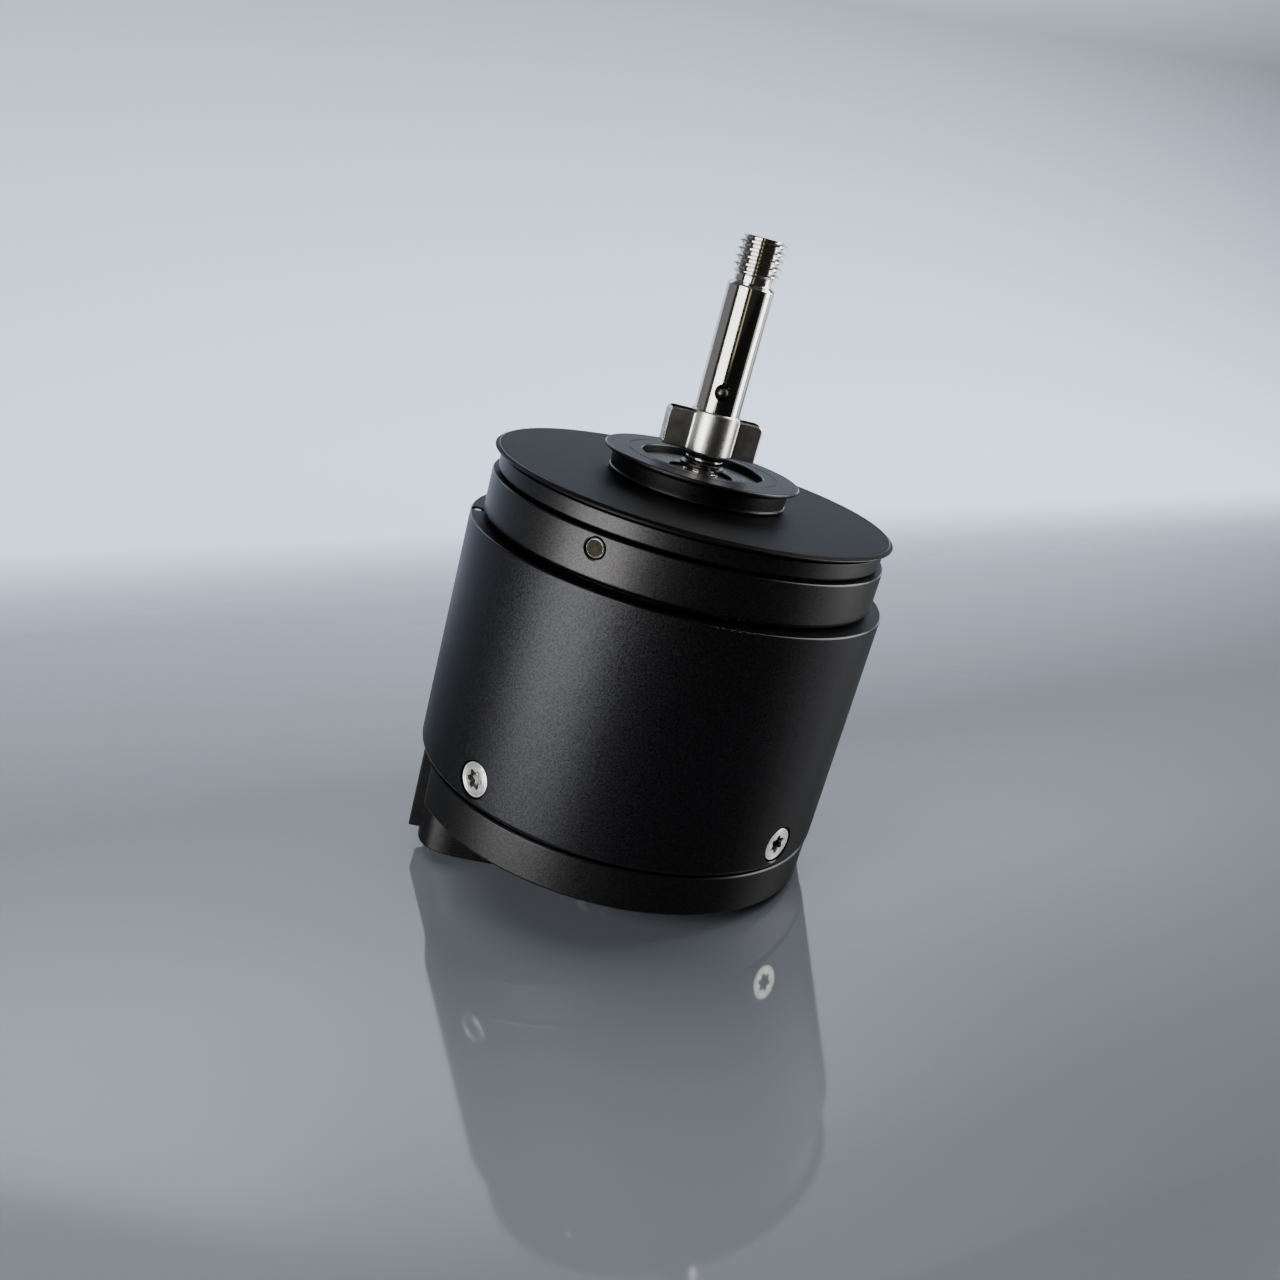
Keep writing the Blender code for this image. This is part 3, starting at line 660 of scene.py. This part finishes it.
def build_sleeve_screws():
    """Countersunk six-lobe screws, each built along its own Z with its head at the top."""
    root = widest("outer_sleeve") - 0.35 - 7.75
    profile = [(0.0, 0.0), (1.35, 0.0, 0.2), (1.85, 0.6, 0.1)]
    for turn in range(7):
        start = 0.6 + 0.7 * turn
        profile += [(1.85, start + 0.05), (1.5, start + 0.35), (1.85, start + 0.65)]
    profile += [(1.75, 5.6), (3.72, 7.3, 0.1), (3.8, 7.55, 0.12), (3.68, 7.75, 0.1)]
    profile += [(3.32, 7.75, 0.04), (3.24, 7.69, 0.04), (3.16, 7.75, 0.04)]
    profile += [(2.74, 7.75, 0.04), (2.68, 7.71, 0.04), (2.62, 7.75, 0.04), (0.0, 7.75)]
    levels = [(6.45, -0.1), (7.6, 0.0), (7.85, 0.22)]

    # the driver recess takes the darker milled colour: painted shade in the hollow of each screw head
    def painted_recess_shade(face):
        at = face.center / MM
        return 6.0 < at.z < 7.72 and at.xy.length < 2.4

    for number, azimuth in enumerate(SLEEVE_SCREW_AZIMUTHS, 1):
        screw = object_of(f"sleeve_screw_{number}_fine", turned(soften(profile), MEDIUM))
        combine(screw, "DIFFERENCE", driver_recess(2.08, 1.42, levels, 6.15))
        height = middle(f"sleeve_screw_{number}").z
        place = outward(azimuth, height) @ Matrix.Translation((0.0, 0.0, root))
        spun = place @ Matrix.Rotation(math.radians(17.0 + 23.0 * number), 4, "Z")
        complete(
            screw, "housing", [f"sleeve_screw_{number}"], [SCREW, MILLED_AND_RECESS_SHADE],
            place=in_metres(spun),
            second=painted_recess_shade,
        )


def build_pins():
    """The pin in the sleeve's rim, and the three lock plugs."""
    low, high = span("rim_lock_pin")
    at = middle("rim_lock_pin")
    pin = [(0.0, low), (1.1, low), (1.1, high - 0.3, 0.15), (0.75, high, 0.15), (0.0, high)]
    axis = Matrix.Translation((at.x, at.y, 0.0))
    rim = object_of("rim_lock_pin_fine", turned(soften(pin), FINE, [axis]))
    complete(rim, "housing", ["rim_lock_pin"], [SCREW])

    inner_end = 35.4
    length = widest("output_housing") - 0.1 - inner_end
    plug = [(0.0, 0.0), (1.95, 0.0, 0.1), (1.95, length - 0.24, 0.06), (1.71, length, 0.05), (0.0, length)]
    for number, azimuth in enumerate(LOCK_PIN_AZIMUTHS, 1):
        piece = object_of(f"lock_pin_{number}_fine", turned(soften(plug), MEDIUM))
        height = middle(f"lock_pin_{number}").z
        place = outward(azimuth, height) @ Matrix.Translation((0.0, 0.0, inner_end))
        complete(
            piece, "housing", [f"lock_pin_{number}"], [PLUG_AND_DOG_SHADE, SCREW],
            place=in_metres(place),
            second=lambda face: is_slanted(face) and face.center.z > (length - 0.4) * MM,
        )


# ---------------------------------------------------------------- output shaft


def thread_solid(major, minor, low, high, sides=72):
    """A closed screw thread: a helical surface between two fans, to be trimmed at both ends."""
    flat = 0.18 * THREAD_PITCH
    section = [(major, 0.0), (major, flat), (minor, THREAD_PITCH * 0.50), (minor, THREAD_PITCH * 0.68)]
    rows = len(section) * (math.ceil((high - low) / THREAD_PITCH) + 1)
    work = bmesh.new()
    columns = []
    for side in range(sides):
        angle = 2 * math.pi * side / sides
        lift = THREAD_PITCH * side / sides
        column = []
        for row in range(rows + len(section)):
            radius, offset = section[row % len(section)]
            height = low + lift + THREAD_PITCH * (row // len(section)) + offset
            column.append(work.verts.new((radius * math.cos(angle), radius * math.sin(angle), height)))
        columns.append(column)
    for side in range(sides):
        here, ahead, shift = columns[side], columns[(side + 1) % sides], 0
        if side == sides - 1:
            shift = len(section)
        for row in range(rows - 1):
            work.faces.new([here[row], ahead[row + shift], ahead[row + 1 + shift], here[row + 1]])
    first, last = columns[0], rows - 1
    bottom = [column[0] for column in columns] + first[len(section):0:-1]
    top = [column[last] for column in columns] + first[last + len(section):last:-1]
    for rim, height in ((bottom, low - 1.0), (top, columns[-1][last].co.z + 1.0)):
        centre = work.verts.new((0.0, 0.0, height))
        for index, corner in enumerate(rim):
            work.faces.new([centre, corner, rim[(index + 1) % len(rim)]])
    loose = [vert for vert in work.verts if not vert.link_faces]
    bmesh.ops.delete(work, geom=loose, context="VERTS")
    return work


def dog_fillet(hub, half, low, high, way, size=0.8):
    """One of the four upright fillets where the dogs grow out of the hub."""
    centre = Vector((math.sqrt((hub + size) ** 2 - (half + size) ** 2), half + size))
    start, end = -math.pi / 2, math.atan2(-centre.y, -centre.x)
    outline = [(2.0, half - 0.6), (centre.x, half - 0.6)]
    for step in range(9):
        angle = start + (end - start) * step / 8
        outline.append((centre.x + size * math.cos(angle), centre.y + size * math.sin(angle)))
    outline.append((3.0, half + 0.2))
    across, along = (1, 1, -1, -1)[way], (1, -1, 1, -1)[way]
    work = prism([(across * x, along * y) for x, y in outline], low + 0.3, high - 0.3)
    turn = Matrix.Rotation(math.radians(DOG_AZIMUTH), 4, "Z")
    bmesh.ops.transform(work, matrix=turn, verts=work.verts)
    return work


def build_output_shaft():
    """The output shaft: thread, cross hole, hub, dogs, neck, and the hexagon inside the housing."""
    foot, top = span("output_shaft")
    up = FOOT  # heights outside the housing are counted from the base ring's lower face
    hub_low, hub_high, shaft_top, thread_low = up + 86.0, up + 94.9, up + 121.6, up + 122.9
    hub = 5.35
    profile = [(0.0, foot + 4.1), (8.0, foot + 4.1), (8.0, foot + 7.0), (6.0, foot + 7.0)]
    profile += [(6.0, up + 77.0, 0.2), (5.7, up + 77.3, 0.1), (4.0, up + 77.3, 0.2)]
    profile += [(4.0, up + 81.7, 0.15), (3.55, up + 82.0, 0.1), (3.55, up + 83.5, 0.1)]
    profile += [(4.0, up + 83.7, 0.1), (4.0, up + 84.7, 0.05), (3.85, up + 84.8, 0.05)]
    profile += [(4.0, up + 84.9, 0.05), (4.0, hub_low, 0.1), (5.0, hub_low, 0.12)]
    profile += [(hub, hub_low + 0.35, 0.12), (hub, hub_high - 0.25, 0.1)]
    profile += [(5.1, hub_high, 0.06), (5.0, hub_high + 0.05, 0.05), (5.0, shaft_top - 0.75, 0.12)]
    profile += [(4.35, shaft_top - 0.05, 0.1), (3.95, shaft_top, 0.25), (3.95, thread_low + 0.1)]
    profile += [(3.95, top - 0.9), (0.0, top - 0.9)]
    shaft = object_of("output_shaft_fine", turned(soften(profile), MEDIUM))
    thread = object_of("helper", thread_solid(4.95, 4.06, thread_low - 2.0, top + 1.0))
    envelope = [(0.0, thread_low), (4.0, thread_low), (5.1, thread_low + 0.75), (5.1, top - 0.85)]
    envelope += [(4.25, top - 0.04, 0.08), (4.1, top, 0.05), (0.0, top)]
    combine(thread, "INTERSECT", turned(soften(envelope), MEDIUM))
    combine(shaft, "UNION", thread)
    hex_end = [(8.0 * math.cos(k * math.pi / 3), 8.0 * math.sin(k * math.pi / 3)) for k in range(6)]
    combine(shaft, "UNION", prism(hex_end, foot, foot + 5.1, 0.3, (True, False)))

    half, thick, dog_low, dog_high = 10.3, 4.7, up + 86.2, up + 94.2
    side = [(-half, dog_low, 0.7), (half, dog_low, 0.7), (half, dog_high, 1.3), (-half, dog_high, 1.3)]
    dogs = prism(rounded_outline(side, 8), -thick / 2, thick / 2, 0.3, segments=1)
    stand = Matrix.Rotation(math.radians(DOG_AZIMUTH), 4, "Z") @ Matrix.Rotation(math.pi / 2, 4, "X")
    bmesh.ops.transform(dogs, matrix=stand, verts=dogs.verts)
    fillets = [dog_fillet(hub, thick / 2, dog_low, dog_high, way) for way in range(4)]
    combine(shaft, "UNION", dogs, *fillets)
    hole = [(0.0, -3.2), (1.6, -3.2), (1.6, 4.6), (1.85, 5.1), (1.85, 7.0), (0.0, 7.0)]
    combine(shaft, "DIFFERENCE", turned(hole, FINE, [outward(-90.0, middle("detent_ball").z)]))

    across = Vector((math.cos(math.radians(DOG_AZIMUTH)), math.sin(math.radians(DOG_AZIMUTH)), 0.0))
    aside = Vector((-across.y, across.x, 0.0))

    def finish_of(face):
        """0 polished, 1 satin, 2 milled, 3 the dark plug colour, painted shade on the dogs' upward faces.
        """
        at = face.center / MM
        if at.xy.length > hub + 0.1 and dog_low - 0.5 < at.z < dog_high + 0.5:
            # the dogs' upward faces take the dark plug colour: painted shade, standing in for a dark
            # reflection on their tops
            if face.normal.z > 0.8:
                return 3
            aligned = max(abs(face.normal.dot(across)), abs(face.normal.dot(aside)), abs(face.normal.z))
            return 1 if aligned < 0.97 else 2
        if hub_low - 0.1 < at.z < hub_high + 0.02 or at.z < up + 78.0:
            return 1
        return 0

    complete(shaft, "output", ["output_shaft"], [POLISHED, SATIN, MILLED_AND_RECESS_SHADE, PLUG_AND_DOG_SHADE])
    for face in shaft.data.polygons:
        face.material_index = finish_of(face)


def build_retaining_ring():
    """A spring clip in the neck's groove, widest opposite its gap."""
    low, high = span("neck_retaining_ring")
    gap, opening, sides = -60.0, 24.0, 60
    outer, inner = [], []
    for step in range(sides + 1):
        angle = math.radians(gap + opening / 2 + (360.0 - opening) * step / sides)
        swell = 4.6 + 0.3 * (1 - math.cos(angle - math.radians(gap))) / 2
        outer.append((swell * math.cos(angle), swell * math.sin(angle)))
        inner.append((3.68 * math.cos(angle), 3.68 * math.sin(angle)))
    ring = object_of("neck_retaining_ring_fine", prism(outer + inner[::-1], low, high, 0.08))
    complete(ring, "output", ["neck_retaining_ring"], [DARK])


def build_detent():
    """The ball in the shaft's cross hole."""
    ball = bmesh.new()
    low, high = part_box("detent_ball")
    radius = (high.x - low.x) / 2 / MM
    bmesh.ops.create_uvsphere(ball, u_segments=48, v_segments=32, radius=radius)
    piece = object_of("detent_ball_fine", ball)
    complete(
        piece, "detent_ball", ["detent_ball"], [DARK],
        place=in_metres(Matrix.Translation(middle("detent_ball"))),
    )


# ---------------------------------------------------------------- stage, light and camera


WHITE = (1.0, 1.0, 1.0)
COOL = (0.95, 0.975, 1.0)
WARM = (1.0, 0.9, 0.75)
YELLOW = (1.0, 0.93, 0.55)


def lean():
    """The floor's frame: the gearbox rests on its lug's inner end and on the ring's rim."""
    rim = Vector((BASE_RADIUS, 0.0, FOOT))
    lug = Vector((LUG_INNER_END * math.cos(math.radians(LUG_AZIMUTH)), 0.0, 0.0))
    angle = math.atan2(rim.z - lug.z, rim.x - lug.x)
    tilt = Matrix.Rotation(-angle, 4, "Y")
    return Matrix.Translation(lug * MM) @ tilt


def stage_material():
    """Grey and glossy near the gearbox, pale and matt beyond the line where the backdrop starts. The
    backdrop is painted darker as it rises, as painted shade, and pale again higher up.
    """
    paint = Nodes("studio_sweep")
    axes = paint.node("ShaderNodeSeparateXYZ", {"Vector": paint.place()})
    start, end = (BACKDROP_LINE - 70.0) * MM, (BACKDROP_LINE + 45.0) * MM
    beyond = paint.mapped(axes.outputs["Y"], 0.0, 1.0, start, end)
    soft = paint.node("ShaderNodeMath", {0: beyond, 1: 1.3}, operation="POWER").outputs["Value"]
    # painted shade: the backdrop darkens from 20 mm to 340 mm up, a painted falloff of the light, and
    # turns pale again from 340 mm to 540 mm
    painted_falloff = paint.mapped(axes.outputs["Z"], 0.0, 1.0, 20.0 * MM, 340.0 * MM)
    above = paint.mapped(axes.outputs["Z"], 0.0, 1.0, 340.0 * MM, 540.0 * MM)
    pale = paint.mixed(painted_falloff, (0.49, 0.555, 0.68), (0.185, 0.203, 0.225))
    pale = paint.mixed(above, pale, (0.52, 0.55, 0.60))
    tone = paint.mixed(soft, (0.104, 0.110, 0.122), pale)
    rough = paint.mapped(beyond, 0.06, 1.0, 0.0, 1.0)
    shine = paint.mapped(beyond, 0.5, 0.0, 0.0, 1.0)
    return paint.set(Base_Color=tone, Roughness=rough, Specular_IOR_Level=shine, IOR=1.9)


def build_stage():
    """A glossy grey floor that sweeps up gently into a pale backdrop."""
    bend, front, width, top = 520.0, 1600.0, 1600.0, 1200.0
    profile = [(-front, 0.0), (-500.0, 0.0), (-150.0, 0.0), (60.0, 0.0), (BACKDROP_LINE, 0.0)]
    for step in range(1, 25):
        angle = math.pi / 2 * step / 24
        profile.append((BACKDROP_LINE + bend * math.sin(angle), bend * (1 - math.cos(angle))))
    profile.append((BACKDROP_LINE + bend, top))
    work = bmesh.new()
    rows = [[work.verts.new((x * MM, y * MM, z * MM)) for x in (-width, 0.0, width)] for y, z in profile]
    for low, high in zip(rows, rows[1:]):
        for column in (0, 1):
            work.faces.new([low[column], low[column + 1], high[column + 1], high[column]])
    mesh = bpy.data.meshes.new("studio_sweep")
    work.to_mesh(mesh)
    work.free()
    mesh.shade_smooth()
    mesh.materials.append(stage_material())
    sweep = bpy.data.objects.new("studio_sweep", mesh)
    sweep.matrix_world = lean() @ Matrix.Rotation(math.radians(BACKDROP_TURN), 4, "Z")
    bpy.context.scene.collection.objects.link(sweep)


def card(name, start, end, low, high, strength, radius=240.0, tint=WHITE):
    """A studio card seen only in reflections: an upright arc round the object.

    start and end are degrees from the front (-Y), positive to the right.
    """
    work = bmesh.new()
    steps = max(2, round(abs(end - start) / 6))
    pairs = []
    for step in range(steps + 1):
        angle = math.radians(start + (end - start) * step / steps)
        x, y = radius * math.sin(angle) * MM, -radius * math.cos(angle) * MM
        pairs.append((work.verts.new((x, y, low * MM)), work.verts.new((x, y, high * MM))))
    for one, two in zip(pairs, pairs[1:]):
        work.faces.new([one[0], two[0], two[1], one[1]])
    mesh = bpy.data.meshes.new(name)
    work.to_mesh(mesh)
    work.free()
    paint = bpy.data.materials.new(name)
    paint.use_nodes = True
    tree = paint.node_tree
    tree.nodes.remove(tree.nodes["Principled BSDF"])
    glow = tree.nodes.new("ShaderNodeEmission")
    glow.inputs["Color"].default_value = (*tint, 1.0)
    glow.inputs["Strength"].default_value = strength
    tree.links.new(glow.outputs["Emission"], tree.nodes["Material Output"].inputs["Surface"])
    mesh.materials.append(paint)
    piece = bpy.data.objects.new(name, mesh)
    piece.matrix_world = lean()
    piece.visible_camera = False
    piece.visible_diffuse = False
    piece.visible_shadow = False
    bpy.context.scene.collection.objects.link(piece)


def softbox(name, at, towards, size, power):
    """An area light that isn't seen in reflections."""
    light = bpy.data.lights.new(name, "AREA")
    light.shape = "RECTANGLE"
    light.size, light.size_y = size[0] * MM, size[1] * MM
    light.energy = power
    light.color = COOL
    lamp = bpy.data.objects.new(name, light)
    place = lean() @ (Vector(at) * MM)
    aim = lean() @ (Vector(towards) * MM)
    lamp.location = place
    lamp.rotation_mode = "QUATERNION"
    lamp.rotation_quaternion = (aim - place).to_track_quat("-Z", "Y")
    lamp.visible_glossy = False
    bpy.context.scene.collection.objects.link(lamp)


def build_lights():
    """Softboxes light the piece evenly, and cards and flags draw the streaks on its metal."""
    softbox("key_softbox", (-380.0, 280.0, 700.0), (-100.0, 480.0, 120.0), (600.0, 500.0), 6.4)
    softbox("top_softbox", (320.0, 400.0, 820.0), (240.0, 560.0, 100.0), (700.0, 500.0), 13.0)
    softbox("right_softbox", (720.0, 220.0, 640.0), (560.0, 760.0, 420.0), (400.0, 400.0), 8.0)
    softbox("front_fill", (-420.0, -560.0, 320.0), (-120.0, -140.0, 0.0), (400.0, 300.0), 8.5)
    card("low_left_card", -58.0, -18.0, 1.0, 85.0, 21.0, radius=260.0, tint=COOL)
    card("low_front_flag", -18.0, 76.0, 1.0, 92.0, 0.008)
    card("front_left_card", -47.0, -2.0, 92.0, 330.0, 5.5)
    card("front_dark_flag", -2.0, 12.0, 92.0, 330.0, 0.03, tint=WARM)
    card("warm_slit", 12.0, 16.0, 92.0, 330.0, 0.9, tint=YELLOW)
    card("front_right_flag", 16.0, 86.0, 92.0, 330.0, 0.03, tint=WARM)
    card("left_flag", -67.0, -47.0, 92.0, 330.0, 0.02)
    card("low_right_card", 76.0, 130.0, 1.0, 130.0, 2.5, radius=700.0)
    card("right_card", 78.0, 128.0, 130.0, 700.0, 7.0, radius=700.0)
    card("shaft_right_card", 86.0, 102.0, 1.0, 330.0, 7.0)
    card("left_card", -128.0, -66.0, 110.0, 400.0, 0.24, radius=600.0)


def build_world():
    """Pale where the camera sees past the backdrop, and dim as a light."""
    world = bpy.data.worlds.new("studio")
    world.use_nodes = True
    tree = world.node_tree
    path = tree.nodes.new("ShaderNodeLightPath")
    tone = tree.nodes.new("ShaderNodeMix")
    tone.data_type = "RGBA"
    tone.inputs["A"].default_value = (0.09, 0.093, 0.098, 1.0)
    tone.inputs["B"].default_value = (0.55, 0.57, 0.60, 1.0)
    tree.links.new(path.outputs["Is Camera Ray"], tone.inputs["Factor"])
    tree.links.new(tone.outputs["Result"], tree.nodes["Background"].inputs["Color"])
    bpy.context.scene.world = world


def build_camera():
    """The main viewpoint, rolled so that the output axis leans to the right."""
    lens = bpy.data.cameras.new("viewpoint")
    lens.sensor_width = 36.0
    lens.lens = 34.17
    lens.clip_start = 0.01
    lens.clip_end = 20.0
    at = Vector((-3.01, -259.38, FOOT + 127.54))
    pitch, roll = math.radians(18.371), math.radians(15.247)
    camera = bpy.data.objects.new("viewpoint", lens)
    forward = Vector((0.0, math.cos(pitch), -math.sin(pitch)))
    level_right = Vector((1.0, 0.0, 0.0))
    level_up = level_right.cross(forward)
    right = level_right * math.cos(roll) + level_up * math.sin(roll)
    up = right.cross(forward)
    turn = Matrix((right, up, -forward)).transposed().to_4x4()
    camera.matrix_world = Matrix.Translation(at * MM) @ turn
    bpy.context.scene.collection.objects.link(camera)
    bpy.context.scene.camera = camera


def paint_the_rest():
    """CAD nodes that stay take the fine finish of their slot."""
    slots = {entry["node"]: entry["material_slot"] for entry in frame["record"]["subparts"]}
    for name, node in frame["nodes"].items():
        if node.hide_render:
            continue
        node.data.materials.clear()
        node.data.materials.append(FINISH_OF_SLOT[slots[name]])


build_camera()
build_sleeve()
build_base_ring()
build_output_housing()
build_cover()
build_seal_collar()
build_sleeve_screws()
build_pins()
build_output_shaft()
build_retaining_ring()
build_detent()
paint_the_rest()
build_stage()
build_lights()
build_world()
